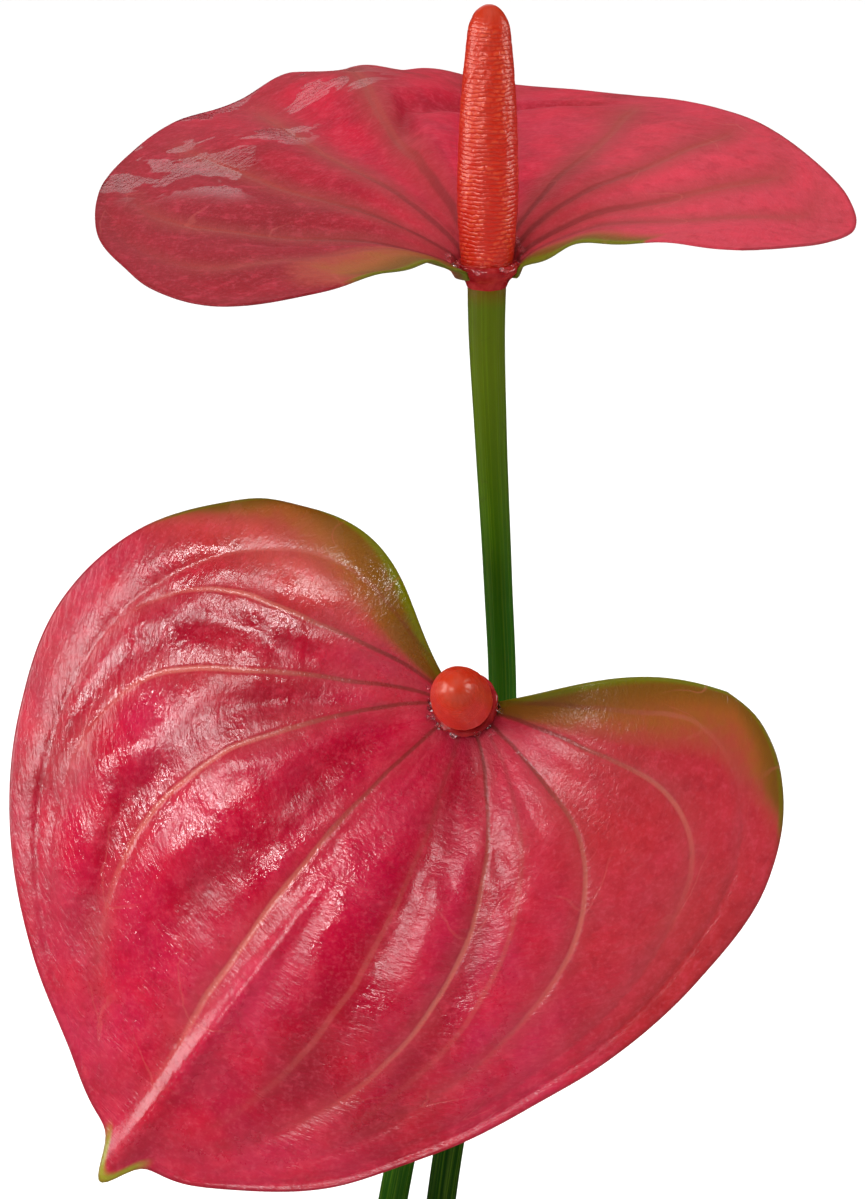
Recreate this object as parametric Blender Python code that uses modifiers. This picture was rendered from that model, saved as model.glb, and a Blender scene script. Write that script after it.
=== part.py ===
"""Potted flamingo flower: two heart-shaped bracts with their flower spikes, and low leaves, in a plain pot.

Metres, +Z up. The origin is the centre of the pot's underside, and the upper bract's tip points along +Y.
Every stalk stands in a plain hole in the soil. A blade, which is a bract or a leaf, is drawn in a frame of
its own: the origin where its stalk meets it, one axis towards its tip, one across it, one out of its upper
face. Its outline is a radius for each heading, in degrees from the tip axis and counter-clockwise seen from
above, and its relief is a height above that frame's plane.
"""

import math

import bmesh
import bpy
import numpy as np
from mathutils import Matrix, Vector, noise

MM = 0.001
GAP = 0.3 * MM  # between pieces that touch

# Pot
POT_HEIGHT = 105 * MM
POT_FOOT_RADIUS = 42 * MM
POT_RIM_RADIUS = 60 * MM
POT_FLARE = 0.8  # below 1, the wall opens more near the foot
POT_WALL = 4.5 * MM
POT_FLOOR = 6 * MM
POT_FOOT_ROUND = 1.2 * MM
POT_INNER_ROUND = 5 * MM
POT_STEPS = 40

# Soil
SOIL_TOP = 92 * MM  # where it meets the wall
SOIL_DOME = 4 * MM
SOIL_ROUGHNESS = 1.6 * MM
SOIL_GRAIN = 90  # lumps to a metre
SOIL_GAP = 1.5 * GAP  # wider, since the soil's sides have fewer steps than the pot's
SOIL_STEPS = 30
SOIL_CROWN = SOIL_TOP + SOIL_DOME

# Stalks
STALK_DEPTH = 30 * MM  # how far a stalk reaches into the soil
HOLE_SIDES = 12
FLOWER_STALK_RADIUS = 2.6 * MM
LEAF_STALK_RADIUS = 1.9 * MM
FOOT_SWELL = 1.15  # a stalk is this much thicker at its foot
LEAF_STALK_RING = 17 * MM  # the leaves' stalks rise from a ring of this radius

# Flower spikes
SPADIX_LENGTH = 39.5 * MM
SPADIX_RADIUS = 4.6 * MM
SPADIX_SIDES = 18
SPADIX_RINGS = 30
SPADIX_ROUND_END = 0.08  # share of its length that its rounded end takes
FLORET_RELIEF = 0.16 * MM
SPADIX_PROFILE = [
    (0, 0.82), (0.12, 0.9), (0.28, 1), (0.45, 0.985), (0.6, 0.94), (0.78, 0.83), (0.88, 0.71), (0.95, 0.6),
    (1, 0.55),
]

# Blades
BRACT_THICKNESS = 0.8 * MM
BRACT_GRID = (36, 12)  # columns about the stalk, rows outwards
LEAF_THICKNESS = 0.7 * MM
LEAF_GRID = (18, 7)
BLADE_START = 1.0 * MM  # radius of the small arc where a blade's columns begin
SEAT_RADIUS = 4.6 * MM  # a blade is flat this far out, where its stalk and its spike meet it
SEAT_SHARE = 0.04  # share of a column's outward run that the seat takes
TIP_CROWDING = 1.25  # above 1, a blade's columns are closer about its tip
EDGE_PANEL = 12  # degrees by which a blade's outermost panels run past its outline
DROOP_WIDTH = 7  # degrees either side of the tip that droop with it

# Outlines, reliefs and veins of the blades: headings in degrees and sizes in millimetres.
# A vein is the heading that it leaves the stalk at and how late it turns towards the tip.
LOWER_BRACT = {
    "outline": [
        (-103, 37.4), (-98, 42.4), (-92, 46.9), (-80, 56.1), (-66, 63.8), (-52, 67.6), (-38, 71.1), (-22, 75.3),
        (-12, 78.6), (-5, 82.4), (0, 84), (6, 83.3), (12, 79.7), (22, 73.9), (30, 68.3), (38, 63.9), (48, 59.3),
        (58, 56.5), (78, 52.9), (97, 51.4), (112, 48.3), (120, 45.3), (126, 41.8), (130, 38.2),
    ],
    "rise": [
        (-103, 3), (-85, -2), (-66, -7), (-40, -8), (-20, -9), (0, -11), (20, -8), (50, -5), (90, -4), (115, 0),
        (130, 4),
    ],
    "veins": [
        (-102, 11), (-81, 12), (-62.5, 8.5), (-46, 3.4), (-20, 2.4), (0, 1), (24, 2.2), (48, 2.1), (84, 3.7),
        (107, 8), (126, 14),
    ],
    "sinus_bend": (0.12, 0.047),
    "cusp": (5, 2.2),
    "crown": 6.5,
    "funnel": 1,
    "ripple": 0,
    "tip_droop": 0,
    "puff": 0.1,
}
UPPER_BRACT = {
    "outline": [
        (-126, 39.5), (-118, 45.5), (-110, 50.8), (-100, 56.8), (-90, 59), (-75, 60.3), (-60, 64.9),
        (-45, 71.6), (-30, 77.3), (-15, 84), (-6, 89), (0, 92.5), (6, 88), (15, 83.2), (30, 75.3), (45, 69.6),
        (60, 63.3), (75, 58.9), (90, 55.2), (100, 53.6), (110, 50.5), (118, 47.8), (126, 41),
    ],
    "rise": [
        (-126, 7.2), (-118, 6.6), (-110, 5.6), (-100, 4.8), (-90, 6.6), (-75, 10.4), (-60, 12.8), (-45, 13.5),
        (-30, 14), (-15, 15.7), (-6, 19.6), (0, 21.3), (6, 20.2), (15, 14.4), (30, 11.8), (45, 7.8), (60, 6.2),
        (75, 4.7), (90, 4.1), (100, 3.6), (110, 3.1), (118, 3.8), (126, 4.8),
    ],
    "veins": [
        (-122, 12), (-100, 9), (-78, 5), (-50, 2.4), (-24, 2.2), (0, 1), (24, 2.2), (50, 2.4), (78, 5),
        (100, 9), (122, 12),
    ],
    "sinus_bend": (0.05, 0.05),
    "cusp": (4, 2.2),
    "crown": 2,
    "funnel": 0.38,
    "ripple": 1.2,
    "tip_droop": 7,
    "puff": 0.1,
}
LEAF = {
    "outline": [
        (-152, 27), (-145, 31), (-135, 34), (-115, 35.5), (-90, 35), (-65, 36.5), (-45, 41.5), (-28, 51.5),
        (-16, 65), (-8, 79), (-3, 90), (0, 96), (3, 90), (8, 79), (16, 65), (28, 51.5), (45, 41.5), (65, 36.5),
        (90, 35), (115, 35.5), (135, 34), (145, 31), (152, 27),
    ],
    "rise": [
        (-152, -1), (-110, 0), (-60, 1), (-20, -8), (0, -16), (20, -8), (60, 1), (110, 0), (152, -1),
    ],
    "veins": [
        (-135, 8), (-100, 5), (-62, 3), (-30, 2.2), (0, 1), (30, 2.2), (62, 3), (100, 5), (135, 8),
    ],
    "sinus_bend": (0.03, 0.03),
    "cusp": (0, 1),
    "crown": 4,
    "funnel": 1.3,
    "ripple": 0.5,
    "tip_droop": 5,
    "puff": 0.09,
}

# Flowers: the bract, where its spike sits, the way its tip points, the way its spike points, its stalk's foot
# in the soil and its stalk's route from there, in millimetres
UPPER_HEADING = math.radians(105)  # round the pot, from +X
FLOWERS = {
    "upper": {
        "blade": UPPER_BRACT,
        "seat": (17.95, -2.6, 374.7),
        "tip": (math.cos(UPPER_HEADING), math.sin(UPPER_HEADING), 0),
        "spike": (0, -0.03, 1),
        "foot": (4, 9),
        "route": [
            (6.5, 8.5, 150), (11.5, 6.5, 205), (18.3, 4, 258), (21.2, 1.5, 300), (20.1, -0.3, 325),
            (18.7, -1.7, 350),
        ],
    },
    "lower": {
        "blade": LOWER_BRACT,
        "seat": (14.4, -36.2, 317.5),
        "tip": (-0.613, -0.313, -0.7255),
        "spike": (-0.045, -0.903, 0.428),
        "foot": (-7, -4),
        "route": [(-4.5, -3.5, 150), (2, -3.5, 205), (11.5, -7, 262), (14.6, -15.5, 295)],
    },
}
FLOWER_NECK = 7 * MM  # a flower's stalk follows its spike's line this far below the bract

# Leaves: heading round the pot, how far out and how high the blade's base is, its droop and roll, its size
LEAVES = {
    "leaf_front_left": (-140, 60, 186, 34, 7, 1.22),
    "leaf_front_right": (-42, 56, 152, 42, -7, 1.10),
    "leaf_front": (-88, 46, 132, 34, 3, 0.80),
    "leaf_right": (-2, 66, 165, 32, 5, 1.18),
    "leaf_left": (178, 64, 152, 40, -8, 1.12),
    "leaf_rear_right": (42, 56, 130, 22, 6, 0.96),
    "leaf_rear_left": (135, 54, 124, 24, -5, 0.92),
    "leaf_rear": (92, 33, 160, 24, 0, 0.74),
}
LEAF_NECK = 4 * MM


def smooth_through(points, at):
    """A smooth curve through (position, value) pairs, read at an array of positions."""
    xs, ys = (np.array(column, float) for column in zip(*points))
    slopes = np.gradient(ys, xs)
    at = np.clip(at, xs[0], xs[-1])
    i = np.clip(np.searchsorted(xs, at, side="right") - 1, 0, len(xs) - 2)
    span = xs[i + 1] - xs[i]
    t = (at - xs[i]) / span
    return (
        (2 * t**3 - 3 * t**2 + 1) * ys[i]
        + (t**3 - 2 * t**2 + t) * span * slopes[i]
        + (3 * t**2 - 2 * t**3) * ys[i + 1]
        + (t**3 - t**2) * span * slopes[i + 1]
    )


def panel_height(blade, heading, out):
    """How far a blade puffs up between its sunken main veins, as a share of the panel's width."""
    first, last = blade["outline"][0][0], blade["outline"][-1][0]
    lines = [start * (1 - out**lateness) for start, lateness in blade["veins"]]
    lines.insert(0, np.full_like(heading, first - EDGE_PANEL))
    lines.append(np.full_like(heading, last + EDGE_PANEL))
    height = np.zeros_like(heading)
    for low, high in zip(lines, lines[1:]):
        width = np.maximum(high - low, 1e-6)
        across = (heading - low) / width
        inside = (across >= 0) & (across <= 1)
        bulge = np.sin(math.pi * np.clip(across, 0, 1)) * np.radians(width)
        height = np.where(inside, bulge, height)
    return height


def blade_points(blade, heading, outward, size):
    """Places of a blade's points in its own frame: towards the tip, across and up, in metres.

    heading is the column's angle where it meets the outline. outward runs from 0 at the stalk to 1 there,
    and SEAT_SHARE of it is the flat seat.
    """
    cusp_length, cusp_width = blade["cusp"]
    edge = smooth_through(blade["outline"], heading)
    edge = edge + cusp_length * np.exp(-((heading / cusp_width) ** 2))
    start = BLADE_START / MM / size
    seat = SEAT_RADIUS / MM / size
    free = np.clip((outward - SEAT_SHARE) / (1 - SEAT_SHARE), 0, 1)
    radius = start + (seat - start) * np.clip(outward / SEAT_SHARE, 0, 1) + (edge - seat) * free

    # the columns beside the notch bend round it
    end = np.where(heading < 0, -blade["outline"][0][0], blade["outline"][-1][0])
    bend = np.where(heading < 0, *blade["sinus_bend"])
    angle = heading * (1 + bend * (np.abs(heading) / end) ** 6 * np.sin(math.pi * outward))

    height = smooth_through(blade["rise"], heading) * free ** blade["funnel"]
    height = height + blade["crown"] * np.sin(math.pi * free**0.8)
    height = height + blade["ripple"] * np.sin(math.pi * free) * np.sin(4 * math.pi * free - 1.2)
    height = height + blade["puff"] * radius * panel_height(blade, angle, radius / edge) * free * (1.15 - free)
    height = height - blade["tip_droop"] * np.exp(-((heading / DROOP_WIDTH) ** 2)) * free**7
    turn = np.radians(angle)
    return np.stack([radius * np.cos(turn), radius * np.sin(turn), height], -1) * MM * size


def blade_frame(place, tip, normal):
    """The matrix that puts a blade's own frame at a place, with its tip axis and its upper face as given."""
    up = Vector(normal).normalized()
    along = Vector(tip)
    along = (along - up * along.dot(up)).normalized()
    across = up.cross(along)
    turn = Matrix((along, across, up)).transposed().to_4x4()
    return Matrix.Translation(Vector(place)) @ turn


def move_to(collection, thing):
    """Moves an object to a collection, out of those that it is in."""
    for old in list(thing.users_collection):
        old.objects.unlink(thing)
    collection.objects.link(thing)


def finish(name, thing, material):
    """Names an object, gives it its material and puts it with the plant's parts."""
    thing.name = name
    thing.data.name = name
    thing.data.materials.append(material)
    move_to(PLANT, thing)


def make_blade(name, blade, matrix, material, thickness, grid, size=1.0):
    """A bract or a leaf: a grid bent to the blade's outline and relief, then given its thickness."""
    columns, rows = grid
    bpy.ops.mesh.primitive_grid_add(x_subdivisions=columns, y_subdivisions=rows, size=1)
    sheet = bpy.context.object
    mesh = sheet.data
    flat = np.empty(len(mesh.vertices) * 3)
    mesh.vertices.foreach_get("co", flat)
    across, step = (flat.reshape(-1, 3)[:, :2] + 0.5).T
    row = step * rows
    beyond_seat = SEAT_SHARE + (1 - SEAT_SHARE) * (row - 1) / (rows - 1)
    outward = np.where(row < 0.5, 0, beyond_seat)
    half = 2 * across - 1
    spread = np.sign(half) * np.abs(half) ** TIP_CROWDING
    first, last = blade["outline"][0][0], blade["outline"][-1][0]
    heading = np.where(spread > 0, spread * first, -spread * last)
    mesh.vertices.foreach_set("co", blade_points(blade, heading, outward, size).ravel())
    shape = bmesh.new()
    shape.from_mesh(mesh)
    bmesh.ops.triangulate(shape, faces=shape.faces[:], quad_method="FIXED")
    shape.to_mesh(mesh)
    shape.free()
    mesh.shade_smooth()
    sheet.matrix_world = matrix
    wall = sheet.modifiers.new("thickness", "SOLIDIFY")
    wall.thickness = thickness
    wall.offset = -1
    finish(name, sheet, material)


def spadix_radius(share):
    """The spike's radius at a share of its length, with its end rounded off."""
    rounding = math.sqrt(max(0.0, 1 - (max(0.0, share - 1 + SPADIX_ROUND_END) / SPADIX_ROUND_END) ** 2))
    return SPADIX_RADIUS * float(smooth_through(SPADIX_PROFILE, np.array([share]))[0]) * rounding


def make_spadix(name, matrix, material):
    """The flower spike: a sphere drawn out to its profile, with raised florets in a diamond lattice."""
    bpy.ops.mesh.primitive_uv_sphere_add(segments=SPADIX_SIDES, ring_count=SPADIX_RINGS, radius=1)
    spike = bpy.context.object
    for vertex in spike.data.vertices:
        x, y, z = vertex.co
        ring = round((math.pi - math.acos(max(-1.0, min(1.0, z)))) / math.pi * SPADIX_RINGS)
        if ring == 0:
            vertex.co = (0, 0, 0)
            continue
        share = 1 - (1 - (ring - 1) / (SPADIX_RINGS - 1)) ** 1.3
        turn = math.atan2(y, x)
        side = round(turn / (2 * math.pi) * SPADIX_SIDES)
        radius = spadix_radius(share)
        if 1 < ring < SPADIX_RINGS - 3:
            radius += FLORET_RELIEF * (1 if (side + ring) % 2 else -1)
        vertex.co = (radius * math.cos(turn), radius * math.sin(turn), SPADIX_LENGTH * share)
    spike.data.shade_smooth()
    spike.matrix_world = matrix
    finish(name, spike, material)


def smooth_path(points, count):
    """Points evenly read from a smooth curve through a route's own points."""
    route = np.array([tuple(point) for point in points], float)
    steps = np.r_[0, np.cumsum(np.linalg.norm(np.diff(route, axis=0), axis=1))]
    at = np.linspace(0, steps[-1], count)
    columns = [smooth_through(list(zip(steps, route[:, axis])), at) for axis in range(3)]
    return np.stack(columns, -1)


def make_stalk(name, route, radii, material, count):
    """A round stalk along a route; radii are (share of its length, radius) pairs."""
    curve = bpy.data.curves.new(name, "CURVE")
    curve.dimensions = "3D"
    curve.bevel_depth = 1.0
    curve.bevel_resolution = 2
    curve.use_fill_caps = True
    spline = curve.splines.new("POLY")
    spline.points.add(count - 1)
    widths = smooth_through(radii, np.linspace(0, 1, count))
    for point, place, radius in zip(spline.points, smooth_path(route, count), widths):
        point.co = (*place, 1)
        point.radius = radius
    finish(name, bpy.data.objects.new(name, curve), material)


def stalk_start(x, y):
    """The first points of a stalk's route: upright from the foot of its hole to just above the soil."""
    low = SOIL_CROWN - STALK_DEPTH
    return [(x, y, z) for z in (low, low + 0.5 * STALK_DEPTH, SOIL_CROWN, SOIL_CROWN + 5 * MM)]


def make_flower(name, flower):
    """One flower: its bract, its spike and its stalk. Returns where the stalk stands and how thick it is."""
    seat = Vector(flower["seat"]) * MM
    spike = Vector(flower["spike"]).normalized()
    matrix = blade_frame(seat, flower["tip"], spike)
    make_blade(f"{name}_bract", flower["blade"], matrix, BRACT_RED, BRACT_THICKNESS, BRACT_GRID)
    make_spadix(f"{name}_spadix", Matrix.Translation(spike * GAP) @ matrix, SPADIX_CORAL)

    foot = Vector(flower["foot"]) * MM
    route = [Vector(place) * MM for place in flower["route"]]
    neck, end = (seat - spike * drop for drop in (FLOWER_NECK, BRACT_THICKNESS + GAP))
    foot_radius = FOOT_SWELL * FLOWER_STALK_RADIUS
    radii = [(0, foot_radius), (0.5, FLOWER_STALK_RADIUS), (0.93, FLOWER_STALK_RADIUS), (1, foot_radius)]
    make_stalk(f"{name}_stalk", [*stalk_start(*foot), *route, neck, end], radii, STALK_GREEN, count=24)
    return foot, foot_radius


def make_leaf(name, heading, reach, height, droop, roll, size):
    """One leaf: its blade, tipping outwards, and its arching stalk. Returns the stalk's place and thickness."""
    turn, fall = math.radians(heading), math.radians(droop)
    out = Vector((math.cos(turn), math.sin(turn), 0))
    up = Vector((0, 0, 1))
    tip = out * math.cos(fall) - up * math.sin(fall)
    normal = Matrix.Rotation(math.radians(roll), 3, tip) @ (out * math.sin(fall) + up * math.cos(fall))
    seat = (out * reach + up * height) * MM
    make_blade(name, LEAF, blade_frame(seat, tip, normal), LEAF_GREEN, LEAF_THICKNESS, LEAF_GRID, size)

    foot = out.xy * LEAF_STALK_RING
    climb = height * MM - SOIL_CROWN
    middle = out * (LEAF_STALK_RING + 0.35 * (reach * MM - LEAF_STALK_RING)) + up * (SOIL_CROWN + 0.55 * climb)
    neck, end = (seat - normal * drop for drop in (LEAF_NECK, LEAF_THICKNESS + GAP))
    foot_radius = FOOT_SWELL * LEAF_STALK_RADIUS
    radii = [(0, foot_radius), (0.5, LEAF_STALK_RADIUS), (0.9, LEAF_STALK_RADIUS), (0.96, foot_radius)]
    radii.append((1, LEAF_STALK_RADIUS))
    make_stalk(f"{name}_stalk", [*stalk_start(*foot), middle, neck, end], radii, STALK_GREEN, count=14)
    return foot, foot_radius


def turned(name, profile, steps):
    """A solid of revolution about Z; the profile runs down its outer side, top to bottom."""
    mesh = bpy.data.meshes.new(name)
    mesh.from_pydata([(r, 0, z) for r, z in profile], [(i, i + 1) for i in range(len(profile) - 1)], [])
    solid = bpy.data.objects.new(name, mesh)
    bpy.context.scene.collection.objects.link(solid)
    screw = solid.modifiers.new("turn", "SCREW")
    screw.steps = screw.render_steps = steps
    screw.use_merge_vertices = True
    screw.merge_threshold = 0.01 * MM
    return solid


def pot_radius(z):
    """The pot's outer radius at a height."""
    return POT_FOOT_RADIUS + (POT_RIM_RADIUS - POT_FOOT_RADIUS) * (z / POT_HEIGHT) ** POT_FLARE


def inner_radius(z):
    """The radius of the pot's inside at a height."""
    return pot_radius(z) - POT_WALL


def make_pot(material):
    """The plain pot: a tapered wall with a rounded rim, a solid floor and no drain hole."""
    levels = [POT_HEIGHT * share for share in (0.97, 0.8, 0.6, 0.4, 0.2, 0.06)]
    half = POT_WALL / 2
    rim = []
    for degrees in (90, 45, 135):
        turn = math.radians(degrees)
        rim.append((POT_RIM_RADIUS - half + half * math.cos(turn), POT_HEIGHT - half + half * math.sin(turn)))
    top, outer_round, inner_round = rim
    outside = [(pot_radius(z), z) for z in levels]
    underside = [(POT_FOOT_RADIUS - POT_FOOT_ROUND, 0), (0, 0)]
    floor = [(0, POT_FLOOR), (inner_radius(POT_FLOOR) - POT_INNER_ROUND, POT_FLOOR)]
    inside = [(inner_radius(z), z) for z in reversed(levels[:-1])]
    pot = turned("pot", [top, outer_round, *outside, *underside, *floor, *inside, inner_round, top], POT_STEPS)
    pot.data.shade_smooth()
    finish("pot", pot, material)


def hole_cutter(foot, stalk_radius):
    """A cutter for the plain hole that a stalk stands in."""
    low = SOIL_CROWN - STALK_DEPTH - GAP
    top = SOIL_CROWN + 2 * SOIL_DOME
    radius = (stalk_radius + GAP) / math.cos(math.pi / HOLE_SIDES)
    place = (*foot, (low + top) / 2)
    bpy.ops.mesh.primitive_cylinder_add(vertices=HOLE_SIDES, radius=radius, depth=top - low, location=place)
    cutter = bpy.context.object
    cutter.hide_render = True
    cutter.display_type = "WIRE"
    move_to(CUTTERS, cutter)
    return cutter


def make_soil(material, stalks):
    """The soil that fills the pot, domed and uneven on top, with a hole for each stalk."""
    radius = inner_radius(SOIL_TOP) - SOIL_GAP
    top = [(radius * share, SOIL_TOP + SOIL_DOME * (1 - share**2)) for share in (0, 0.2, 0.4, 0.6, 0.8, 1)]
    side = [(inner_radius(z) - SOIL_GAP, z) for z in (POT_HEIGHT * share for share in (0.8, 0.6, 0.4, 0.2))]
    low = POT_FLOOR + GAP
    bottom = [(inner_radius(POT_FLOOR) - POT_INNER_ROUND - 2 * SOIL_GAP, low), (0, low)]
    soil = turned("soil", [*top, *side, *bottom], SOIL_STEPS)
    bpy.context.view_layer.objects.active = soil
    bpy.ops.object.modifier_apply(modifier="turn")
    for vertex in soil.data.vertices:
        if vertex.co.z > SOIL_TOP + GAP:
            vertex.co.z += SOIL_ROUGHNESS * noise.noise(Vector((*vertex.co.xy, 0)) * SOIL_GRAIN)
    for number, (foot, stalk_radius) in enumerate(stalks):
        cut = soil.modifiers.new(f"hole_{number}", "BOOLEAN")
        cut.operation = "DIFFERENCE"
        cut.object = hole_cutter(foot, stalk_radius)
    finish("soil", soil, material)


def surface(name, colour, roughness):
    """A plain Principled material."""
    material = bpy.data.materials.new(name)
    material.use_nodes = True
    shader = material.node_tree.nodes["Principled BSDF"]
    shader.inputs["Base Color"].default_value = (*colour, 1)
    shader.inputs["Roughness"].default_value = roughness
    shader.inputs["Metallic"].default_value = 0
    return material


for old in list(bpy.data.objects):
    bpy.data.objects.remove(old)
PLANT = bpy.data.collections.new("potted flamingo flower")
CUTTERS = bpy.data.collections.new("cutters")
for group in (PLANT, CUTTERS):
    bpy.context.scene.collection.children.link(group)

BRACT_RED = surface("bract", (0.52, 0.035, 0.07), 0.3)
SPADIX_CORAL = surface("spadix", (0.56, 0.085, 0.03), 0.4)
STALK_GREEN = surface("stalk", (0.06, 0.12, 0.01), 0.45)
LEAF_GREEN = surface("leaf", (0.02, 0.075, 0.015), 0.35)
SOIL_BROWN = surface("soil", (0.035, 0.022, 0.014), 0.95)
POT_GLAZE = surface("pot", (0.62, 0.60, 0.55), 0.35)

STALKS = [make_flower(name, flower) for name, flower in FLOWERS.items()]
STALKS += [make_leaf(name, *leaf) for name, leaf in LEAVES.items()]
make_soil(SOIL_BROWN, STALKS)
make_pot(POT_GLAZE)
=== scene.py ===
"""Potted flamingo flower, dressed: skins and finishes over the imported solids, the camera, lights and floor.

Metres, +Z up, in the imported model's frame. The blades, spikes and stalks repeat the shapes of the solids and
add their fine relief: puffed panels between sunken veins, florets, wrinkles. Each piece sits at the origin
with its place in its mesh. A blade's UV map holds its own polar coordinates: u is the heading from the tip
axis over a full turn, plus a half, and v is the radius as a share of the outline's.
"""

import math
import random

import bpy
import numpy as np
from mathutils import Matrix, Vector, noise


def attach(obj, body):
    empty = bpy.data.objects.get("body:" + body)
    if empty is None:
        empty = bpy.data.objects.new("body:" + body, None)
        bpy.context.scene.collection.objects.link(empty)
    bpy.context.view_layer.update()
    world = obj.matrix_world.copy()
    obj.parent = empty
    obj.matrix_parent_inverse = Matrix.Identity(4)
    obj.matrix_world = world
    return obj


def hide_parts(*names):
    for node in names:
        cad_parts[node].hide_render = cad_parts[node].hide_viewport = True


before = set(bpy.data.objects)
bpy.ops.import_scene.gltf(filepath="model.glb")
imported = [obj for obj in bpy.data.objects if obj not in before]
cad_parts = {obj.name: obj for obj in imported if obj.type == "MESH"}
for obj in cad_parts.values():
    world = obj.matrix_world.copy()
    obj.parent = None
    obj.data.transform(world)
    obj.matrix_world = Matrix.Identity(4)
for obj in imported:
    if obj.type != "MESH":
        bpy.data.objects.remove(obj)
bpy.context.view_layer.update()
bpy.ops.object.select_all(action="DESELECT")

MM = 0.001
DEGREE = math.pi / 180
GAP = 0.3 * MM


def srgb(red, green, blue):
    """A colour from its everyday 0 to 255 numbers, as light."""
    shares = [c / 255 for c in (red, green, blue)]
    return tuple(c / 12.92 if c < 0.0404 else ((c + 0.055) / 1.055) ** 2.4 for c in shares)


# Pot and soil
POT_HEIGHT = 105 * MM
POT_FOOT_RADIUS = 42 * MM
POT_RIM_RADIUS = 60 * MM
POT_FLARE = 0.8
POT_WALL = 4.5 * MM
POT_FLOOR = 6 * MM
POT_INNER_ROUND = 5 * MM
SOIL_TOP = 92 * MM
SOIL_DOME = 4 * MM
SOIL_ROUGHNESS = 1.6 * MM
SOIL_GRAIN = 90
SOIL_GAP = 0.45 * MM
SOIL_CRUMB = 0.75 * MM
SOIL_SPREAD = 1.06  # past 1, the sheet's rows hang down the pot's wall
SOIL_HEM = 260 * MM  # how far they would hang in a whole share
SOIL_CROWN = SOIL_TOP + SOIL_DOME

# Stalks
STALK_DEPTH = 30 * MM
FLOWER_STALK_RADIUS = 2.6 * MM
LEAF_STALK_RADIUS = 1.9 * MM
FOOT_SWELL = 1.15
LEAF_STALK_RING = 17 * MM
FLOWER_NECK = 7 * MM
LEAF_NECK = 4 * MM

# Flower spikes
SPADIX_LENGTH = 39.5 * MM
SPADIX_RADIUS = 4.6 * MM
SPADIX_SIDES = 96
SPADIX_RINGS = 160
SPADIX_ROUND_END = 0.1
SPADIX_PROFILE = [
    (0, 0.84), (0.12, 0.93), (0.28, 1), (0.45, 0.975), (0.6, 0.92), (0.78, 0.8), (0.88, 0.71), (0.95, 0.65),
    (1, 0.62),
]
FLORETS_ROUND = 17
FLORET_ROW = 0.66 * MM
SPADIX_UNEVEN = 0.12 * MM

# Blades. Headings are degrees from the tip's axis, anticlockwise from above; other sizes are millimetres.
BRACT_THICKNESS = 0.8 * MM
BRACT_GRID = (280, 140)
LEAF_THICKNESS = 0.7 * MM
LEAF_GRID = (112, 58)
BLADE_START = 1.0 * MM
SEAT_RADIUS = 4.6 * MM
SEAT_SHARE = 0.04
TIP_CROWDING = 1.25
EDGE_PANEL = 3
DROOP_WIDTH = 7
LOBE_START = 0.68  # where a lobe begins, as a share of the way from the tip's axis to the notch
SAG_PLACE, SAG_WIDTH = 0.13, 0.11  # shares of the way out
PUFF_END = 1.06
LONG_FOLD = (8, 26)  # degrees across, millimetres along
CROSS_FOLD = (7, 3.6)
FOLD_FADE = 14  # millimetres over which folds fade towards the rim
RIM_THINNING = 0.55  # how much thinner a blade is at its rim
RIM_WIDTH = 5  # millimetres over which it thins

# The camera and the lamps
CAMERA_PLACE = (9.66 * MM, -353.258 * MM, 449.207 * MM)
CAMERA_TILT = 70 * DEGREE
PANEL_DISTANCE = 1.3

# Flower seats and their water drops, in millimetres
COLLAR_INNER = 3.7
LIP_RADII = (4.3, 5.0)
LIP_DROPS = 14
THROAT_DROPS = 15

rng = random.Random(4)


def mirrored(rows):
    """Rows for both halves of an even blade, from its right half's, which start with a heading."""
    return [(-heading, *rest) for heading, *rest in reversed(rows) if heading] + rows


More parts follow.
